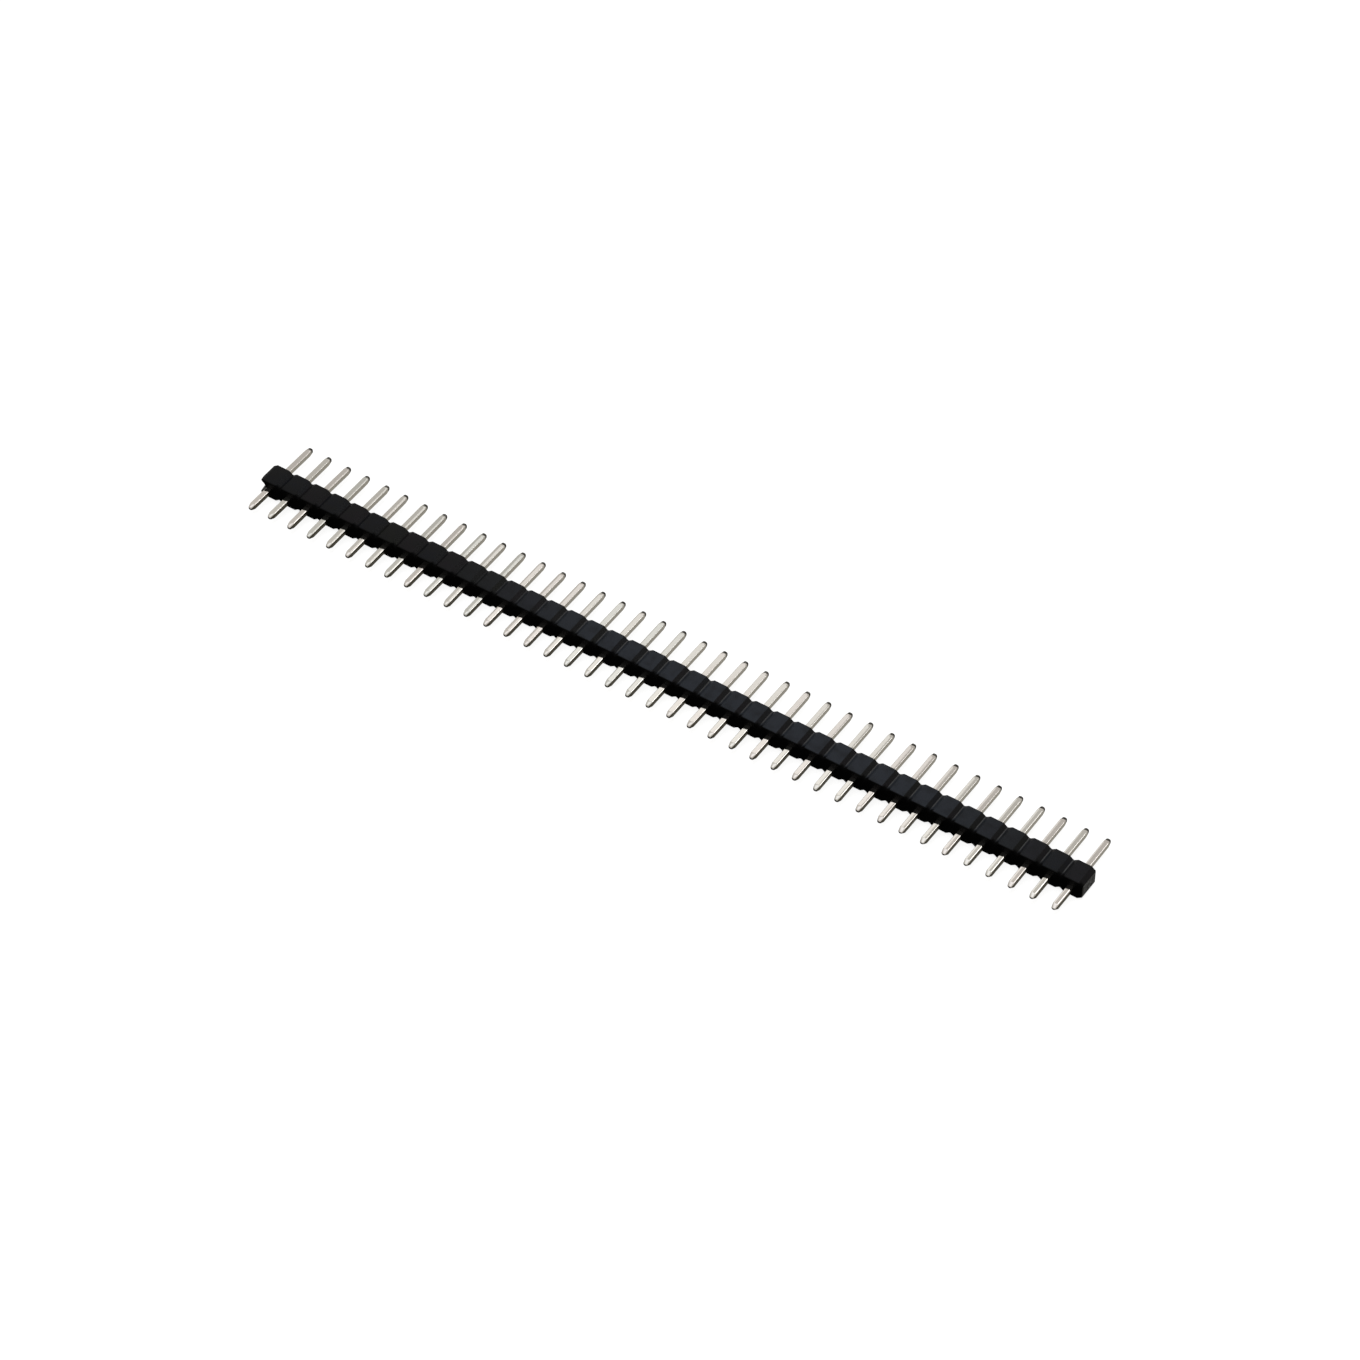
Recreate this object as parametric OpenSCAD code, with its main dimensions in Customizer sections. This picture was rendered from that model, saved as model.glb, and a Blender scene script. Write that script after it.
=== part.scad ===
// Break-away pin header strip: a row of square pins through one moulded insulator.
// The strip lies on the flats of its insulator, as it rests on a bench.
// X runs along the row, Y along the pins towards the long mating side, and Z is up.
// The origin is on the bench, under the middle of the row and halfway along the pins.

/* [Row] */
// Number of pins in the row
pin_count = 40; // [2:1:59]
// Distance from one pin to the next
pitch = 2.54; // [2.1:0.01:3.1]

/* [Insulator] */
// Depth of the insulator, along the pins
body_depth = 2.7; // [1.8:0.05:5]
// Height of the insulator, across the flats of its octagons
body_height = 2.4; // [1.8:0.05:3.5]
// Width of the flat above and below each pin
flat_width = 1.54; // [0.9:0.02:1.9]
// Depth of the V-notches between two positions, where the strip snaps apart
notch_depth = 0.38; // [0.1:0.01:0.45]

/* [Pins] */
// Side of the square pin
pin_side = 0.64; // [0.5:0.01:0.8]
// Radius of the pin's four long edges
pin_edge_radius = 0.06; // [0.02:0.01:0.1]
// Length of the mating side, from the insulator to the tip
mating_length = 4.75; // [2:0.1:15]
// Length of the solder tail, from the insulator to the tip
tail_length = 3.35; // [2:0.1:15]
// Length of the tapered nose at both ends of a pin
nose_length = 0.7; // [0.3:0.05:1.2]
// Width of the blunt end of a nose
nose_width = 0.38; // [0.2:0.01:0.45]
// Clearance on each side of a pin in its hole
hole_clearance = 0.01; // [0.005:0.005:0.05]

/* [Snapped end] */
// Radius of the scoop that broke out of the first position, at its solder-side corner
chip_radius = 1; // [0.4:0.05:1.1]
// How far the scoop reaches along the snapped end, from the solder face
chip_reach = 1.5; // [0.5:0.05:1.5]
// Plastic left between the scoop and the first pin's hole
chip_wall = 0.05; // [0.03:0.01:0.3]
// Height of the scoop's middle above the pin's middle
chip_rise = 0.1; // [0:0.02:0.4]

/* [Hidden] */
$fn = 64;
// How far a cut runs past the faces that it goes through
past = 1;
row_length = pin_count * pitch;
pin_length = tail_length + body_depth + mating_length;
pin_height = body_height / 2;
solder_face = tail_length - pin_length / 2;
hole_side = pin_side + 2 * hole_clearance;
// The nose is bounded by arcs that leave the straight shank without a corner
nose_inset = (pin_side - nose_width) / 2;
nose_arc = (pow(nose_inset, 2) + pow(nose_length, 2)) / (2 * nose_inset);

function pin_name(i) = str("pin_", i < 10 ? "0" : "", i);
function pin_x(i) = (i - (pin_count + 1) / 2) * pitch;

// Turns an outline of X and Z into a prism that runs along Y from 0
module along_pins(length) {
    rotate([90, 0, 0]) mirror([0, 0, 1]) linear_extrude(length) children();
}

// One position, seen along the pins: an octagon from notch root to notch root
module position_outline() {
    root = body_height / 2 - notch_depth;
    polygon([
        [-pitch / 2, -root], [-flat_width / 2, -body_height / 2],
        [flat_width / 2, -body_height / 2], [pitch / 2, -root],
        [pitch / 2, root], [flat_width / 2, body_height / 2],
        [-flat_width / 2, body_height / 2], [-pitch / 2, root]
    ]);
}

// The hollow left by the piece of plastic that broke off at the snapped end's corner
module chip() {
    end_x = -row_length / 2;
    wall_x = pin_x(1) - hole_side / 2 - chip_wall;
    reach_x = wall_x - end_x;
    turn = atan2(chip_reach, reach_x);
    // The axis runs level, parallel to the line from the hole's wall to the far end of the reach
    translate([wall_x, solder_face, pin_height + chip_rise])
        rotate([0, 0, -turn])
            translate([0, -chip_radius, 0])
                rotate([0, 90, 0])
                    cylinder(r = chip_radius, h = 2 * (norm([reach_x, chip_reach]) + past), center = true);
}

// The whole moulding, one octagon for each pin, with a square hole through each
module insulator() {
    color([0.09, 0.09, 0.1])
        difference() {
            translate([0, solder_face, pin_height])
                along_pins(body_depth)
                    difference() {
                        for (i = [1:pin_count]) translate([pin_x(i), 0]) position_outline();
                        for (i = [1:pin_count]) translate([pin_x(i), 0]) square(hole_side, center = true);
                    }
            chip();
        }
}

// A nose narrows in two arcs from the shank to its blunt end
module nose_outline() {
    intersection() {
        translate([-pin_side / 2, 0]) square([pin_side, nose_length]);
        translate([nose_arc - pin_side / 2, 0]) circle(nose_arc);
        translate([pin_side / 2 - nose_arc, 0]) circle(nose_arc);
    }
}

// A pin seen square on: a straight shank between two noses
module pin_outline() {
    shank = pin_length - 2 * nose_length;
    square([pin_side, shank], center = true);
    for (end = [0, 1]) mirror([0, end]) translate([0, shank / 2]) nose_outline();
}

// The pin's cross-section: a square with rolled corners
module pin_section() {
    inner = pin_side - 2 * pin_edge_radius;
    square([pin_side, inner], center = true);
    square([inner, pin_side], center = true);
    for (x = [-1, 1], z = [-1, 1]) translate([x, z] * inner / 2) circle(pin_edge_radius);
}

// Both outlines and the section bound the pin, so its noses taper on all four sides
module pin(i) {
    color([0.78, 0.76, 0.72])
        translate([pin_x(i), 0, pin_height])
            intersection() {
                linear_extrude(pin_side, center = true) pin_outline();
                rotate([0, 90, 0]) linear_extrude(pin_side, center = true) pin_outline();
                translate([0, -pin_length / 2, 0]) along_pins(pin_length) pin_section();
            }
}

insulator();
for (i = [1:pin_count])
    pin(i);
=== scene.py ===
import math
import random

import bmesh
import bpy
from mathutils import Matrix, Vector, noise


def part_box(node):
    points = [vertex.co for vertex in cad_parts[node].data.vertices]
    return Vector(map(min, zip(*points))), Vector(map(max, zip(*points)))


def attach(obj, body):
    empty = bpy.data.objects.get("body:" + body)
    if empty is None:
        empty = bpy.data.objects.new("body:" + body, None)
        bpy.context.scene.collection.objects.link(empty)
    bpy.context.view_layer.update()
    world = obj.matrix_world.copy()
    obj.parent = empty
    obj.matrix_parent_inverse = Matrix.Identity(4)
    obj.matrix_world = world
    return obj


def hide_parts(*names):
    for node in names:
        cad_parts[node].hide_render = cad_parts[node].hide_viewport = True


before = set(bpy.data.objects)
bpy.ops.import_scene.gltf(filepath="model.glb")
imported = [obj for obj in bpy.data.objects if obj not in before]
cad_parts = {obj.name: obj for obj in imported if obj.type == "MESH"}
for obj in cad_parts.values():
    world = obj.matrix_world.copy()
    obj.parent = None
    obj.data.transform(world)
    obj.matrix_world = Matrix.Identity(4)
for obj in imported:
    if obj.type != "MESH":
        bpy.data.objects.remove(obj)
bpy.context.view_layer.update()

mm = 0.001
hair = 0.001 * mm    # nearer than this counts as touching
scene = bpy.context.scene

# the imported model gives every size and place
bodyLow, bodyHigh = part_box("insulator")
pinNames = sorted(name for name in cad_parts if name.startswith("pin_"))
pinLow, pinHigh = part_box(pinNames[0])
pinAxisZ = (pinLow.z + pinHigh.z) / 2
pinHalf = (pinHigh.x - pinLow.x) / 2
pinPitch = (bodyHigh.x - bodyLow.x) / len(pinNames)
print(f"frame: {len(pinNames)} pins, pitch {pinPitch / mm:.2f} mm")


class Wire:
    # one output socket, so that shader maths reads as an ordinary expression
    def __init__(self, tree, socket=None):
        self.tree = tree
        self.socket = socket

    def node(self, kind, settings=None, sockets=None, out=0):
        # settings come first, because some of them change which sockets there are
        made = self.tree.nodes.new(kind)
        for key, value in (settings or {}).items():
            setattr(made, key, value)
        for key, value in (sockets or {}).items():
            if isinstance(value, Wire):
                self.tree.links.new(value.socket, made.inputs[key])
            else:
                made.inputs[key].default_value = value
        return Wire(self.tree, made.outputs[out])

    def maths(self, operation, first, second=0.0):
        return self.node("ShaderNodeMath", {"operation": operation}, {0: first, 1: second})

    def __add__(self, other):
        return self.maths("ADD", self, other)

    def __radd__(self, other):
        return self.maths("ADD", other, self)

    def __sub__(self, other):
        return self.maths("SUBTRACT", self, other)

    def __rsub__(self, other):
        return self.maths("SUBTRACT", other, self)

    def __mul__(self, other):
        return self.maths("MULTIPLY", self, other)

    def __rmul__(self, other):
        return self.maths("MULTIPLY", other, self)

    def __abs__(self):
        return self.maths("ABSOLUTE", self)

    def ramp(self, low, high, toLow=0.0, toHigh=1.0):
        # a smooth step from low to high
        return self.node("ShaderNodeMapRange", {"interpolation_type": "SMOOTHSTEP"},
                         {"Value": self, "From Min": low, "From Max": high,
                          "To Min": toLow, "To Max": toHigh})

    def blend(self, first, second):
        # self is the factor between two colours
        return self.node("ShaderNodeMix", {"data_type": "RGBA"}, {0: self, 6: first, 7: second}, out=2)

    def stretch(self, scale):
        # self is a vector
        return self.node("ShaderNodeVectorMath", {"operation": "MULTIPLY"}, {0: self, 1: scale})

    def dimmed(self, amount):
        # self is a colour
        return self.node("ShaderNodeVectorMath", {"operation": "SCALE"}, {0: self, "Scale": amount})

    def noiseHere(self, scale, detail, roughness=0.5):
        # self is a place
        return self.node("ShaderNodeTexNoise", {},
                         {"Vector": self, "Scale": scale, "Detail": detail, "Roughness": roughness})

    def relief(self, depth, under=None):
        # self is a height, and depth is what a height of 1 stands for, in m
        sockets = {"Strength": 1.0, "Distance": depth, "Height": self}
        if under:
            sockets["Normal"] = under
        return self.node("ShaderNodeBump", {}, sockets)

    def part(self, axis):
        return self.node("ShaderNodeSeparateXYZ", {}, {0: self}, out="XYZ".index(axis))


def colour(red, green, blue):
    return (red, green, blue, 1)


def newMaterial(name):
    material = bpy.data.materials.new(name)
    material.use_nodes = True
    tree = material.node_tree
    shader = tree.nodes["Principled BSDF"]
    start = Wire(tree)
    place = start.node("ShaderNodeTexCoord", out=3)
    return material, start, shader, place


def feed(shader, start, links):
    for key, value in links.items():
        if isinstance(value, Wire):
            start.tree.links.new(value.socket, shader.inputs[key])
        else:
            shader.inputs[key].default_value = value


def inMetres(pair):
    return [value * mm for value in pair]


mouldingLook = {
    "flats": colour(0.0030, 0.0031, 0.0035),      # the flats above and below the pins
    "ends": colour(0.0016, 0.0016, 0.0018),       # painted shade: the faces that the pins leave are blacker than the flats; also the dark of the snapped faces
    "paintedLeftLight": colour(0.0118, 0.0142, 0.0190),      # painted light: paler over the middle and right of the row, as if lit from the left
    "paintedLightRise": (-30, -6),     # mm along the row
    "paintedLightFall": (30, 50),      # mm
    "paintedLightRemains": 0.15,          # what remains of it at the right-hand end
    "rootHighlight": colour(0.030, 0.0305, 0.032),         # painted highlight along the foot of each notch
    "rootHighlightDepth": (0.22, 0.27),  # mm below the flats
    "rootHighlightStart": (0.4, 0.9),    # mm in from the solder face
    "notchShadeDepth": (0.04, 0.16),                  # mm below the flats
    "notchShadeEnd": (0.15, 0.55),  # mm in from the solder face
    "notchShadeSheenLoss": 0.85,        # how far the painted shade at the notch ends takes away the plastic's own sheen
    "broken": colour(0.10, 0.10, 0.10),           # where the strip snapped: partly the real paler grey of the break, partly a painted sheen
    "tints": (colour(0.0026, 0.0031, 0.0048),
              colour(0.0033, 0.0036, 0.0031),
              colour(0.0037, 0.0030, 0.0041)),
    "flatRoughness": 0.40,
    "endRoughness": 0.60,
    "brokenRoughness": 0.55,
    "roughnessGrain": 0.12,
    "gloss": 0.10,
    "grainSize": 0.035,         # mm
    "grainDepth": 0.003,        # mm
    "crumbHeight": 9.0,         # times the grain
    "cloudScale": 0.9,          # per mm
    "crumbScale": 3.2,          # per mm
}


def blackMoulding():
    look = mouldingLook
    material, start, shader, place = newMaterial("blackMoulding")
    inMm = place.stretch((1000, 1000, 1000))
    facing = start.node("ShaderNodeNewGeometry", out=1)
    towardsPins = abs(facing.part("Y")).ramp(0.45, 0.9)
    broken = start.node("ShaderNodeAttribute", {"attribute_name": "broken"}, out=2)
    # each position has its own slight cast
    position = place.part("X") * (1 / pinPitch) + 0.5 * (len(pinNames) % 2)
    cell = start.maths("FLOOR", position)
    cast = start.node("ShaderNodeTexWhiteNoise", {"noise_dimensions": "1D"}, {"W": cell})
    first, second, third = look["tints"]
    tint = cast.ramp(0.45, 0.6).blend(cast.ramp(0.1, 0.35).blend(first, second), third)
    cloud = inMm.noiseHere(look["cloudScale"], 3.0)
    flats = cloud.ramp(0.3, 0.7).blend(look["flats"], tint)
    # painted light from the left over the middle and right of the row, kept off faces that look to the
    # right
    rise = place.part("X").ramp(*inMetres(look["paintedLightRise"]))
    fall = place.part("X").ramp(*inMetres(look["paintedLightFall"]), 1.0, look["paintedLightRemains"])
    notRight = facing.part("X").ramp(0.0, 0.6, 1.0, 0.0)
    paintedLeftLight = rise * fall * notRight * cloud.ramp(0.25, 0.6, 0.55, 1.0)
    flats = paintedLeftLight.blend(flats, look["paintedLeftLight"])
    # painted shade: faces that look along the pins are made blacker
    plastic = towardsPins.blend(flats, look["ends"])
    # a painted highlight runs along the foot of each notch, and painted shade makes its solder end near
    # black
    below = bodyHigh.z - pinAxisZ - abs(place.part("Z") - pinAxisZ)
    inwards = place.part("Y") - bodyLow.y
    # painted highlight along the foot of each notch, fading to the left with the painted light
    rootHighlight = abs(facing.part("Z")).ramp(0.85, 0.94) * below.ramp(*inMetres(look["rootHighlightDepth"]))
    rootHighlight = rootHighlight * inwards.ramp(*inMetres(look["rootHighlightStart"])) * rise
    # painted shade: the solder ends of the notches are made near black, and Metallic takes their sheen away
    notchShade = below.ramp(*inMetres(look["notchShadeDepth"]))
    notchShade = notchShade * inwards.ramp(*inMetres(look["notchShadeEnd"]), 1.0, 0.0)
    notchShade = notchShade * (1.0 - broken)
    plastic = rootHighlight.blend(plastic, look["rootHighlight"])
    plastic = notchShade.blend(plastic, look["ends"])
    crumbs = inMm.noiseHere(look["crumbScale"], 6.0, 0.7)
    # the snapped faces are mottled grey, partly the real whitening of the break, partly a painted sheen
    scar = crumbs.ramp(0.35, 0.75).blend(look["ends"], look["broken"])
    grain = inMm.noiseHere(1 / look["grainSize"], 2.0)
    rough = look["flatRoughness"] + towardsPins * (look["endRoughness"] - look["flatRoughness"])
    rough = rough + broken * (look["brokenRoughness"] - look["flatRoughness"])
    rough = rough + (grain - 0.5) * look["roughnessGrain"]
    height = grain + broken * crumbs * look["crumbHeight"]
    feed(shader, start, {
        "Base Color": broken.blend(plastic, scar),
        "Metallic": notchShade * look["notchShadeSheenLoss"],
        "Roughness": rough,
        "Normal": height.relief(look["grainDepth"] * mm),
        "Specular IOR Level": look["gloss"],
    })
    return material


tinLook = {
    "warm": colour(0.80, 0.780, 0.745),
    "pink": colour(0.80, 0.762, 0.735),
    "cool": colour(0.77, 0.770, 0.740),
    "tailSidesShaded": colour(0.17, 0.158, 0.125),      # painted shade: the two sheared sides, darkened towards the solder tail
    "matingSides": colour(0.93, 0.91, 0.87),
    "matingDull": 0.88,         # the mating side is a little greyer on its broad faces
    "tipDarkReflection": colour(0.045, 0.043, 0.040),
    "tipReflectionSpecks": colour(0.30, 0.29, 0.27),
    "tipDarkLength": (0.34, 0.42),  # mm from the tip to where the painted dark reflection ends
    "tipDarkRagged": 0.12,          # mm
    "pitDarkness": 0.93,
    "faceRoughness": 0.07,
    "shearedRoughness": 0.26,
    "roughnessPits": 0.08,
    "streaks": (26000, 700, 26000),               # per metre: long in Y, along the pin, and fine across it
    "streakDepth": 0.0005,      # mm
    "pitScale": 7.0,            # per mm
    "pitDepth": 0.0008,         # mm
    "blotchScale": 1.1,         # per mm
    "blotchShare": 0.3,         # of a pin's tone, and the rest is the pin's own
}


def brightTin():
    look = tinLook
    material, start, shader, place = newMaterial("brightTin")
    facing = start.node("ShaderNodeNewGeometry", out=1)
    sheared = abs(facing.part("X")).ramp(0.62, 0.96)
    towardsTail = place.part("Y").ramp(bodyLow.y, bodyHigh.y, 1.0, 0.0)
    streak = place.stretch(look["streaks"]).noiseHere(1.0, 3.0)
    inMm = place.stretch((1000, 1000, 1000))
    pits = inMm.noiseHere(look["pitScale"], 4.0, 0.6)
    blotch = inMm.noiseHere(look["blotchScale"], 2.0)
    # each pin has its own tone
    cell = start.maths("FLOOR", place.part("X") * (1 / pinPitch))
    own = start.node("ShaderNodeTexWhiteNoise", {"noise_dimensions": "1D"}, {"W": cell + 31.7})
    tone = own * (1 - look["blotchShare"]) + blotch * look["blotchShare"]
    face = tone.ramp(0.25, 0.45).blend(look["pink"], look["warm"])
    face = tone.ramp(0.5, 0.75).blend(face, look["cool"])
    face = face.dimmed(towardsTail * (1 - look["matingDull"]) + look["matingDull"])
    # painted shade: the sheared sides darken towards the solder tail
    side = towardsTail.blend(look["matingSides"], look["tailSidesShaded"])
    pitted = pits.ramp(0.35, 0.7, 1.0, look["pitDarkness"])
    plating = sheared.blend(face, side).dimmed(pitted)
    # painted reflection: the mating tips are made near black, with pale specks and a ragged edge
    fromTip = pinHigh.y - place.part("Y") + (pits - 0.5) * look["tipDarkRagged"] * mm
    darkTip = fromTip.ramp(*inMetres(look["tipDarkLength"]), 1.0, 0.0)
    darkTipTone = pits.ramp(0.50, 0.66).blend(look["tipDarkReflection"], look["tipReflectionSpecks"])
    rough = look["faceRoughness"] + sheared * (look["shearedRoughness"] - look["faceRoughness"])
    rough = rough + (pits - 0.5) * look["roughnessPits"]
    drawn = streak.relief(look["streakDepth"] * mm)
    feed(shader, start, {
        "Base Color": darkTip.blend(plating, darkTipTone),
        "Metallic": 1.0,
        "Roughness": rough,
        "Normal": pits.relief(look["pitDepth"] * mm, drawn),
    })
    return material


floorLook = {
    "tone": colour(0.20, 0.20, 0.20),
    "speckTone": colour(0.21, 0.21, 0.208),
    "glow": colour(0.86, 0.86, 0.86),       # the bench is a lit white table, so shadows on it stay faint
    "size": 3.0,            # m
    "roughness": 0.65,
}


def paleFloor():
    look = floorLook
    material, start, shader, place = newMaterial("paleFloor")
    speck = place.noiseHere(900.0, 2.0)
    feed(shader, start, {
        "Base Color": speck.ramp(0.3, 0.7).blend(look["tone"], look["speckTone"]),
        "Roughness": look["roughness"],
        "Specular IOR Level": 0.0,
        "Emission Color": look["glow"],
        "Emission Strength": 1.0,
    })
    return material


def addPiece(name, mesh, material):
    piece = bpy.data.objects.new(name, mesh)
    scene.collection.objects.link(piece)
    mesh.materials.append(material)
    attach(piece, "root")
    return piece


insulatorBuild = {
    "tailSideRadius": 0.20,     # mm, round the face that the solder tails leave
    "matingSideRadius": 0.12,   # mm
    "cornerRadius": 0.07,       # mm, along the flats
    "rootRadius": 0.15,         # mm, in the foot of each notch
    "roundSteps": 5,
    "creaseAngle": 32,          # degrees from which an edge stays sharp
    "holeClearance": 0.01,      # mm
    "weld": 0.0004,             # mm
    "scarFlush": 0.004,         # mm off the end that still counts as the end face
    "scarGrid": 0.16,           # mm between the points of a snapped face
    "scarDepth": 0.05,          # mm
    "scarWaves": (1900, 5200),  # broad and fine, per metre
}


def filletedOutline(corners, steps):
    # corners are (x, z, radius), and each becomes an arc
    points = []
    for k, (x, z, radius) in enumerate(corners):
        here = Vector((x, z))
        back = (Vector(corners[k - 1][:2]) - here).normalized()
        ahead = (Vector(corners[(k + 1) % len(corners)][:2]) - here).normalized()
        half = back.angle(ahead) / 2
        centre = here + (back + ahead).normalized() * radius / math.sin(half)
        first = here + back * radius / math.tan(half) - centre
        last = here + ahead * radius / math.tan(half) - centre
        sweep = math.atan2(first.x * last.y - first.y * last.x, first.dot(last))
        for step in range(steps + 1):
            turn = sweep * step / steps
            points.append((centre.x + first.x * math.cos(turn) - first.y * math.sin(turn),
                           centre.y + first.x * math.sin(turn) + first.y * math.cos(turn)))
    return points


def chainOutline(inset, shape):
    # the whole row seen along the pins, drawn in by the inset
    build = insulatorBuild
    slope = math.atan2(shape["notchDepth"], (pinPitch - shape["flatWidth"]) / 2)
    halfFlat = shape["flatWidth"] / 2 - inset * math.tan(slope / 2)
    halfHeight = bodyHigh.z - inset - pinAxisZ
    rootHeight = bodyHigh.z - shape["notchDepth"] - inset / math.cos(slope) - pinAxisZ
    endX = bodyHigh.x - inset
    endHeight = halfHeight - (pinPitch / 2 - inset - halfFlat) * math.tan(slope)
    corner = min(build["cornerRadius"] * mm, 0.8 * halfFlat)
    root = build["rootRadius"] * mm + inset
    upper = [(-endX, endHeight, corner)]
    for k in range(len(pinNames)):
        x = bodyLow.x + (k + 0.5) * pinPitch
        upper += [(x - halfFlat, halfHeight, corner), (x + halfFlat, halfHeight, corner)]
        if k < len(pinNames) - 1:
            upper.append((x + pinPitch / 2, rootHeight, root))
    upper.append((endX, endHeight, corner))
    lower = [(x, -height, radius) for x, height, radius in reversed(upper)]
    return filletedOutline(upper + lower, build["roundSteps"])


def skin(work, rows):
    count = len(rows[0])
    for first, second in zip(rows, rows[1:]):
        for k in range(count):
            work.faces.new((first[k], second[k], second[(k + 1) % count], first[(k + 1) % count]))
    work.faces.new(rows[0])
    work.faces.new(list(reversed(rows[-1])))
    bmesh.ops.recalc_face_normals(work, faces=work.faces)


def looseObject(name, work):
    mesh = bpy.data.meshes.new(name)
    work.to_mesh(mesh)
    work.free()
    made = bpy.data.objects.new(name, mesh)
    scene.collection.objects.link(made)
    return made


def chainBody(shape):
    build = insulatorBuild
    rims = ((bodyLow.y, build["tailSideRadius"] * mm, 1), (bodyHigh.y, build["matingSideRadius"] * mm, -1))
    stations = []
    for y, radius, inwards in rims:
        arc = []
        for step in range(build["roundSteps"] + 1):
            turn = math.pi / 2 * step / build["roundSteps"]
            arc.append((y + inwards * radius * (1 - math.cos(turn)), radius * (1 - math.sin(turn))))
        stations += arc if inwards > 0 else arc[::-1]
    work = bmesh.new()
    rows = []
    for y, inset in stations:
        rows.append([work.verts.new((x, y, pinAxisZ + z)) for x, z in chainOutline(inset, shape)])
    skin(work, rows)
    return looseObject("chainBody", work)


def holesBody():
    # a square hole for each pin
    work = bmesh.new()
    side = pinHalf + insulatorBuild["holeClearance"] * mm
    corners = ((-1, -1), (1, -1), (1, 1), (-1, 1))
    for k in range(len(pinNames)):
        x = bodyLow.x + (k + 0.5) * pinPitch
        rows = []
        for y in (bodyLow.y - mm, bodyHigh.y + mm):
            rows.append([work.verts.new((x + a * side, y, pinAxisZ + b * side)) for a, b in corners])
        skin(work, rows)
    return looseObject("holes", work)


# the corner of the first position that broke away on the solder side, with its lengths in mm
scoopBuild = {
    "radius": 1.0,
    "reach": 1.5,           # in from the solder face, along the end face
    "wall": 0.05,           # what is left beside the first hole
    "rise": 0.1,            # of its middle above the pins
    "halfLength": 2.6,      # of the cutter
    "relief": 0.035,
    "waves": (1500, 4000),  # broad and fine, per metre
    "grid": 0.11,
    "around": 56,           # points round the cutter
    "margin": 0.06,         # a face this near to the cutter's skin is broken
    "facing": -0.6,         # and it has to look inwards at least this much
    "paleness": 0.5,        # how far it shows the grey of the snapped ends
}


def scoopLine():
    # a point on the scoop's axis, and the axis itself
    build = scoopBuild
    radius = build["radius"] * mm
    wallX = pinLow.x - (insulatorBuild["holeClearance"] + build["wall"]) * mm
    turn = math.atan2(build["reach"] * mm, wallX - bodyLow.x)
    axisX = wallX - radius * math.sin(turn)
    axisY = bodyLow.y - radius * math.cos(turn)
    axisZ = pinAxisZ + build["rise"] * mm
    return Vector((axisX, axisY, axisZ)), Vector((math.cos(turn), -math.sin(turn), 0))


def scoopBody():
    # the rough scoop that the break left
    build = scoopBuild
    point, axis = scoopLine()
    up = Vector((0, 0, 1))
    across = axis.cross(up)
    broad, fine = build["waves"]
    halfLength = build["halfLength"] * mm
    along = int(2 * halfLength / (build["grid"] * mm))
    work = bmesh.new()
    rows = []
    for a in range(along + 1):
        middle = point + axis * (2 * halfLength * a / along - halfLength)
        row = []
        for k in range(build["around"]):
            turn = 2 * math.pi * k / build["around"]
            out = across * math.cos(turn) + up * math.sin(turn)
            here = middle + out * build["radius"] * mm
            wave = noise.noise(here * broad) + 0.5 * noise.noise(here * fine)
            row.append(work.verts.new(here - out * build["relief"] * mm * (0.5 + 0.5 * wave)))
        rows.append(row)
    skin(work, rows)
    return looseObject("scoop", work)


def endFaces(work, end):
    flush = insulatorBuild["scarFlush"] * mm
    return [f for f in work.faces if all(abs(v.co.x - end) < flush for v in f.verts)]


def roughenSnap(work, layer):
    # the two end faces snapped, so they get a grid of points and a shallow uneven surface
    build = insulatorBuild
    broad, fine = build["scarWaves"]
    spans = ((bodyLow.y, bodyHigh.y, Vector((0, 1, 0))), (bodyLow.z, bodyHigh.z, Vector((0, 0, 1))))
    for sign, end in ((-1, bodyLow.x), (1, bodyHigh.x)):
        for low, high, direction in spans:
            for step in range(1, int((high - low) / (build["scarGrid"] * mm))):
                # a dictionary drops the doubles and keeps the order
                geometry = list(dict.fromkeys(item for f in endFaces(work, end)
                                              for item in [f, *f.edges, *f.verts]))
                point = Vector((end, 0, 0)) + direction * low
                point += direction * step * build["scarGrid"] * mm
                bmesh.ops.bisect_plane(work, geom=geometry, dist=hair, plane_co=point, plane_no=direction)
        face = set(endFaces(work, end))
        for f in face:
            f[layer] = 1.0
        inner = {v for f in face for v in f.verts if all(other in face for other in v.link_faces)}
        for v in inner:
            wave = 0.5 + 0.5 * noise.noise(v.co * broad) + 0.35 * noise.noise(v.co * fine)
            v.co.x -= sign * max(0.0, min(wave, 1.0)) * build["scarDepth"] * mm


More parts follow.
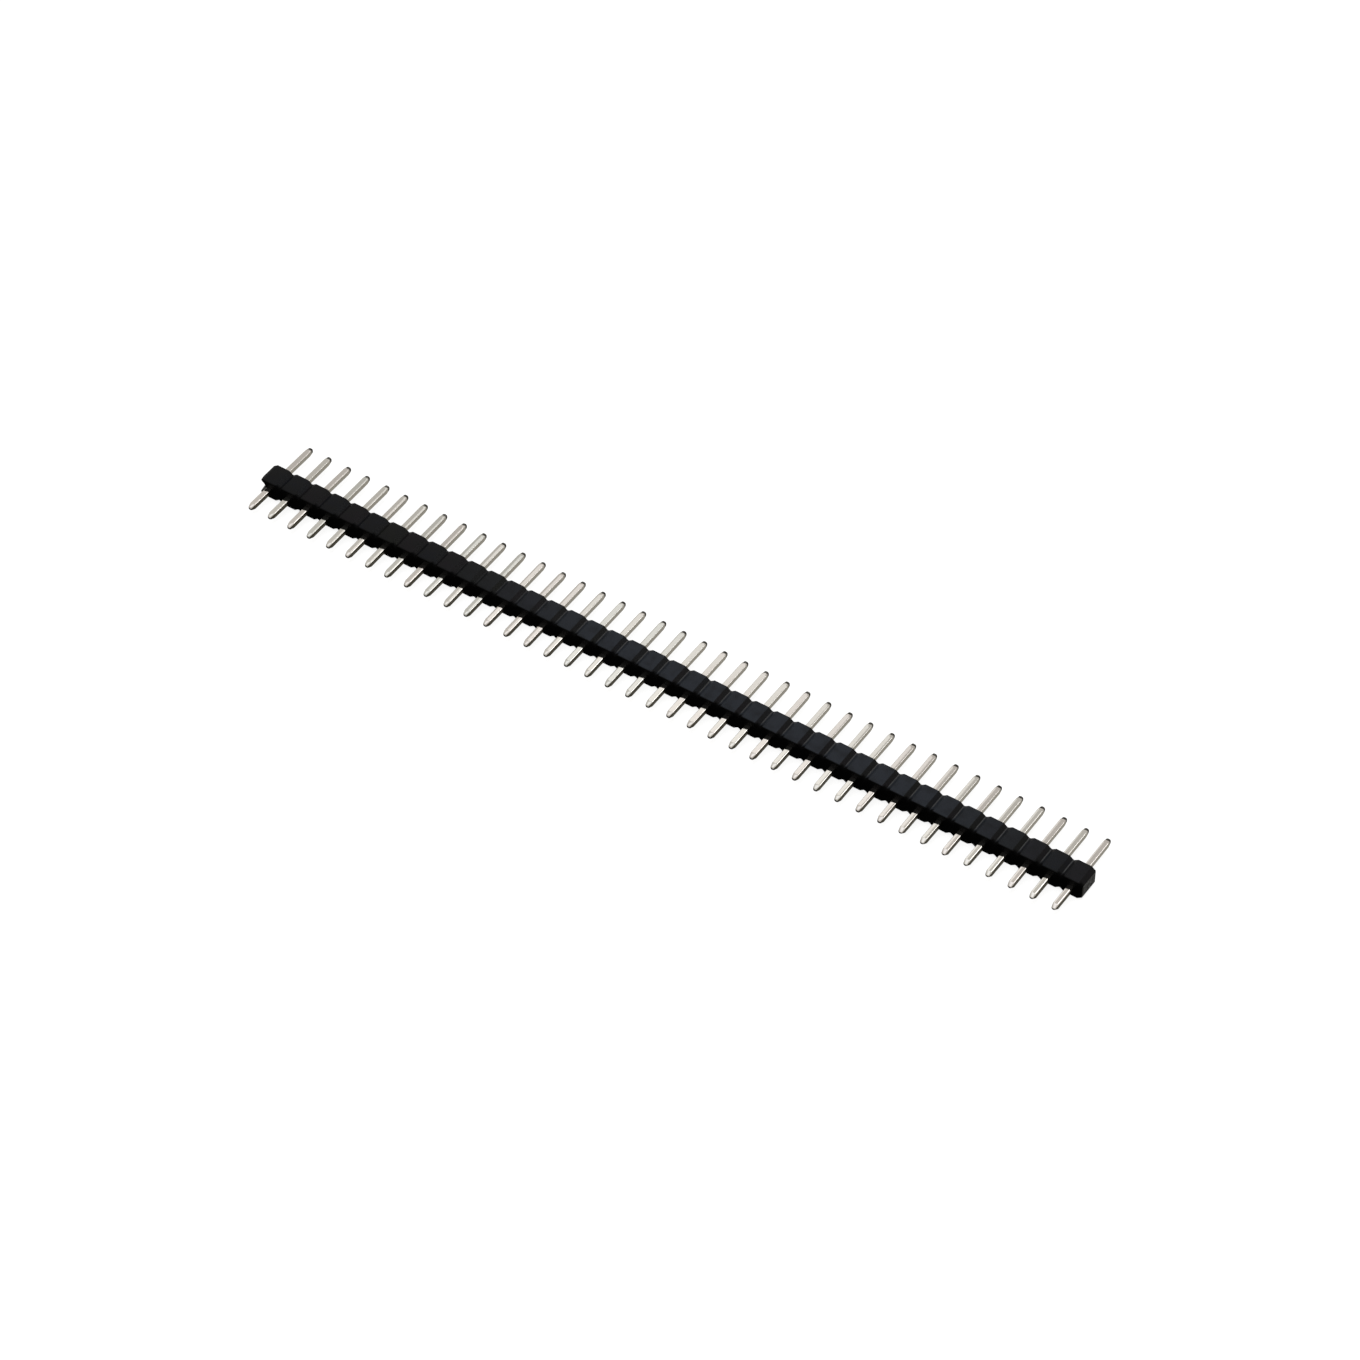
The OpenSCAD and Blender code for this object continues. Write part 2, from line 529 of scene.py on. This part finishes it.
def makeInsulator(material):
    build = insulatorBuild
    cad = [v.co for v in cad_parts["insulator"].data.vertices]
    crest = [co.x for co in cad if co.z > bodyHigh.z - hair and co.y > bodyHigh.y - hair]
    flats = sorted({round(x / mm, 3) for x in crest})
    rootZ = max(co.z for co in cad if co.x > bodyHigh.x - hair)
    shape = {"flatWidth": (flats[1] - flats[0]) * mm, "notchDepth": bodyHigh.z - rootZ}
    body = chainBody(shape)
    cutters = [holesBody(), scoopBody()]
    for cutter in cutters:
        cut = body.modifiers.new("cut", "BOOLEAN")
        cut.operation = "DIFFERENCE"
        cut.solver = "MANIFOLD"
        cut.object = cutter
    evaluated = body.evaluated_get(bpy.context.evaluated_depsgraph_get())
    mesh = bpy.data.meshes.new_from_object(evaluated)
    mesh.name = "insulatorMoulding"
    mesh.materials.clear()
    for spare in (body, *cutters):
        bpy.data.meshes.remove(spare.data)
    work = bmesh.new()
    work.from_mesh(mesh)
    bmesh.ops.remove_doubles(work, verts=work.verts, dist=build["weld"] * mm)
    layer = work.faces.layers.float.new("broken")
    roughenSnap(work, layer)
    point, axis = scoopLine()
    for f in work.faces:
        away = f.calc_center_median() - point
        away -= axis * away.dot(axis)
        near = abs(away.length - scoopBuild["radius"] * mm) < scoopBuild["margin"] * mm
        if near and f.normal.dot(away.normalized()) < scoopBuild["facing"]:
            f[layer] = scoopBuild["paleness"]
        f.material_index = 0
        f.smooth = True
    work.to_mesh(mesh)
    work.free()
    mesh.set_sharp_from_angle(angle=math.radians(build["creaseAngle"]))
    piece = addPiece("insulatorMoulding", mesh, material)
    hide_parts("insulator")
    return piece


pinBuild = {
    "edgeRadius": 0.055,       # mm
    "edgeGrowth": 0.2,         # how fast an edge rounds off as the nose narrows
    "rollOver": (0.10, 0.19),  # mm, the softer edge that the punch leaves, along the upper right
    "rollGrowth": 0.3,
    "matingRoll": 0.55,        # the share of the roll-over on the mating side
    "fullestRound": 0.93,      # the most of the half width that an edge may take
    "edgeSteps": 6,
    "faceSteps": 4,
    "crown": 0.006,            # mm that a face falls away towards its edges
    "noseCrown": 0.05,         # and at most this much of the half width
    "noseLength": 0.70,        # mm
    # each nose: length, then width, dome, blunt half width and curve, across the row and upright
    "matingNose": (0.70, (0.50, 0.15, 0.14, 1.35), (0.56, 0.18, 0.15, 1.35)),
    "roundNose": (0.60, (0.52, 0.27, 0.07, 1.3), (0.48, 0.22, 0.07, 1.3)),
    "flatNose": (0.52, (0.57, 0.27, 0.08, 1.2), (0.30, 0.09, 0.07, 1.0)),
    "flatNosed": 8,            # pins at the right-hand end whose tails have sloping, flat noses
    "tailGrow": (0.94, 1.06),  # each nose comes out a little longer or shorter
    "matingGrow": (0.9, 1.1),
    "noseSteps": 15,
    "ringSpacing": 1.7,        # the rings of a nose stand closer towards its tip
    "taperHold": 0.04,         # mm past the taper to a ring that keeps its start crisp
    "shankSteps": 10,
    "lean": 0.03,              # mm that a tip may stand off its line
    "leanCurve": 1.6,
    "twist": 1.2,              # degrees
    "seed": 40,
}


def pinRing(halfX, halfZ, radii, build):
    # a rounded square seen along the pin: rolled edges, and faces that fall away a little towards them
    crown = min(build["crown"] * mm, build["noseCrown"] * min(halfX, halfZ))
    arcs = []
    for quarter, radius in enumerate(radii):
        signX = 1 if quarter in (0, 3) else -1
        signZ = 1 if quarter < 2 else -1
        arc = []
        for step in range(build["edgeSteps"] + 1):
            turn = math.pi / 2 * (quarter + step / build["edgeSteps"])
            arc.append((signX * (halfX - radius - crown) + radius * math.cos(turn),
                        signZ * (halfZ - radius - crown) + radius * math.sin(turn)))
        arcs.append(arc)
    points = []
    for quarter, arc in enumerate(arcs):
        points += arc
        (startX, startZ), (endX, endZ) = arc[-1], arcs[(quarter + 1) % 4][0]
        outwards = math.pi / 2 * (quarter + 1)
        for step in range(1, build["faceSteps"]):
            share = step / build["faceSteps"]
            bulge = crown * (1 - (2 * share - 1) ** 2)
            points.append((startX + (endX - startX) * share + bulge * math.cos(outwards),
                           startZ + (endZ - startZ) * share + bulge * math.sin(outwards)))
    return points


def noseHalf(away, length, width, dome, blunt, curve):
    # half the width of a nose, in mm, at a distance from its tip
    if away < dome:
        return blunt + (width / 2 - blunt) * math.sqrt(1 - (1 - away / dome) ** 2)
    share = min((away - dome) / (length - dome), 1.0)
    return width / 2 + (pinHalf / mm - width / 2) * (1 - (1 - share) ** curve)


def noseRings(nose, grow):
    # distance from the tip, and the half widths of the pin there
    length, across, upright = nose
    steps = pinBuild["noseSteps"]
    rings = []
    for step in range(steps + 1):
        away = length * (step / steps) ** pinBuild["ringSpacing"]
        halfX = noseHalf(away, length, *across) * mm
        halfZ = noseHalf(away, length, *upright) * mm
        rings.append((away * grow * mm, halfX, halfZ))
    rings.append(((length * grow + pinBuild["taperHold"]) * mm, pinHalf, pinHalf))
    return rings


def makePin(name, material, dice):
    build = pinBuild
    low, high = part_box(name)
    centreX = (low.x + high.x) / 2
    flatNosed = int(name.split("_")[1]) > len(pinNames) - build["flatNosed"]
    tailNose = noseRings(build["flatNose" if flatNosed else "roundNose"], dice.uniform(*build["tailGrow"]))
    matingNose = noseRings(build["matingNose"], dice.uniform(*build["matingGrow"]))
    length = build["noseLength"] * mm
    clear = 1.5 * length    # the straight rings keep clear of both noses
    shank = high.y - low.y - 2 * clear
    straight = [clear + shank * step / build["shankSteps"] for step in range(build["shankSteps"] + 1)]
    stations = [(low.y + away, halfX, halfZ) for away, halfX, halfZ in tailNose]
    stations += [(low.y + away, pinHalf, pinHalf) for away in straight]
    stations += [(high.y - away, halfX, halfZ) for away, halfX, halfZ in reversed(matingNose)]
    lean = {side: (dice.uniform(-1, 1) * build["lean"] * mm, dice.uniform(-1, 1) * build["lean"] * mm)
            for side in ("tail", "mating")}
    twist = math.radians(dice.uniform(-1, 1) * build["twist"])
    sharpEdge = build["edgeRadius"] * mm
    softEdge = dice.uniform(*build["rollOver"]) * mm
    work = bmesh.new()
    rows = []
    for y, halfX, halfZ in stations:
        side = "tail" if y < bodyLow.y else "mating"
        tailFree = max(0.0, bodyLow.y - y) / (bodyLow.y - low.y)
        matingFree = max(0.0, y - bodyHigh.y) / (high.y - bodyHigh.y)
        bend = (tailFree + matingFree) ** build["leanCurve"]
        offX, offZ = (amount * bend for amount in lean[side])
        half = min(halfX, halfZ)
        coined = (1 - half / pinHalf) * mm
        most = build["fullestRound"] * half
        roll = softEdge * (1.0 if side == "tail" else build["matingRoll"])
        soft = min(roll + build["rollGrowth"] * coined, most)
        sharp = min(sharpEdge + build["edgeGrowth"] * coined, most)
        row = []
        for x, z in pinRing(halfX, halfZ, (soft, sharp, sharp, sharp), build):
            turnedX = x * math.cos(twist) - z * math.sin(twist)
            turnedZ = x * math.sin(twist) + z * math.cos(twist)
            row.append(work.verts.new((centreX + turnedX + offX, y, pinAxisZ + turnedZ + offZ)))
        rows.append(row)
    skin(work, rows)
    for f in work.faces:
        f.smooth = True
    mesh = bpy.data.meshes.new(name + "Tinned")
    work.to_mesh(mesh)
    work.free()
    piece = addPiece(name + "Tinned", mesh, material)
    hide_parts(name)
    return piece


insulator = makeInsulator(blackMoulding())
print(f"insulator: {len(insulator.data.polygons)} faces")

tin = brightTin()
dice = random.Random(pinBuild["seed"])
pins = [makePin(name, tin, dice) for name in pinNames]
print(f"pins: {len(pins)} of {len(pins[0].data.polygons)} faces")


def makeFloor():
    half = floorLook["size"] / 2
    corners = [(-half, -half, 0), (half, -half, 0), (half, half, 0), (-half, half, 0)]
    mesh = bpy.data.meshes.new("benchTop")
    mesh.from_pydata(corners, [], [(0, 1, 2, 3)])
    mesh.materials.append(paleFloor())
    floor = bpy.data.objects.new("benchTop", mesh)
    scene.collection.objects.link(floor)
    floor.visible_glossy = False    # the tin mirrors the dark studio, and not the bright floor
    floor.visible_shadow = False


studio = {
    "overhead": {"place": (0.0, 0.05, 0.62), "size": (0.60, 0.60), "power": 2.6, "mirrored": False},
    "leftCard": {"place": (-0.105, 0.17, 0.22), "size": (0.075, 0.10), "power": 0.0095, "mirrored": True},
    "backCard": {"place": (0.075, 0.11, 0.155), "size": (0.05, 0.05), "power": 0.022, "mirrored": True},
}

skyLook = {
    "below": colour(0.020, 0.019, 0.017),
    "wall": colour(0.66, 0.64, 0.60),
    "wallHeight": (-0.50, 0.26),    # of a direction, from -1 straight down to 1 straight up
    "ceiling": colour(1.12, 1.12, 1.12),
    "ceilingHeight": (0.86, 0.95),
    "bench": colour(0.30, 0.285, 0.25),     # the table past the far right, as the right-hand faces see it
    "benchDirection": (0.38, 0.57, -0.73),
    "benchSpread": (0.78, 0.97),
    "backdrop": colour(1.0, 1.0, 1.0),
}


def makeLights():
    for name, softbox in studio.items():
        lamp = bpy.data.lights.new(name, "AREA")
        lamp.shape = "RECTANGLE"
        lamp.size, lamp.size_y = softbox["size"]
        lamp.energy = softbox["power"]
        holder = bpy.data.objects.new(name, lamp)
        holder.location = softbox["place"]
        holder.rotation_euler = (-Vector(softbox["place"])).to_track_quat("-Z", "Y").to_euler()
        holder.visible_camera = False
        holder.visible_glossy = softbox["mirrored"]
        scene.collection.objects.link(holder)
    world = bpy.data.worlds.new("studioWalls")
    world.use_nodes = True
    scene.world = world
    tree = world.node_tree
    sky = tree.nodes["Background"]
    start = Wire(tree)
    direction = start.node("ShaderNodeTexCoord", out=0)
    height = direction.part("Z")
    walls = height.ramp(*skyLook["wallHeight"]).blend(skyLook["below"], skyLook["wall"])
    shade = height.ramp(*skyLook["ceilingHeight"]).blend(walls, skyLook["ceiling"])
    towardsBench = start.node("ShaderNodeVectorMath", {"operation": "DOT_PRODUCT"},
                              {0: direction, 1: skyLook["benchDirection"]}, out=1)
    shade = towardsBench.ramp(*skyLook["benchSpread"]).blend(shade, skyLook["bench"])
    seen = start.node("ShaderNodeLightPath", out=0)
    shade = seen.blend(shade, skyLook["backdrop"])
    tree.links.new(shade.socket, sky.inputs["Color"])


view = {
    "azimuth": 34.04,             # degrees round to the right of the solder side
    "elevation": 47.03,           # degrees
    "distance": 0.50519,          # m
    "aim": (0.00200, -0.00043),   # m
    "lens": 130.67,               # mm
    "frameWidth": 36,             # mm
    "nearest": 0.01,              # m
}


def makeCamera():
    data = bpy.data.cameras.new("tableCamera")
    data.lens = view["lens"]
    data.sensor_width = view["frameWidth"]
    data.clip_start = view["nearest"]
    camera = bpy.data.objects.new("tableCamera", data)
    azimuth = math.radians(view["azimuth"])
    elevation = math.radians(view["elevation"])
    level = math.cos(elevation)
    back = Vector((math.sin(azimuth) * level, -math.cos(azimuth) * level, math.sin(elevation)))
    camera.location = Vector((*view["aim"], pinAxisZ)) + back * view["distance"]
    camera.rotation_euler = (-back).to_track_quat("-Z", "Y").to_euler()
    scene.collection.objects.link(camera)
    scene.camera = camera


makeFloor()
makeLights()
makeCamera()
scene.view_settings.view_transform = "Standard"
print("floor, lights and camera placed")
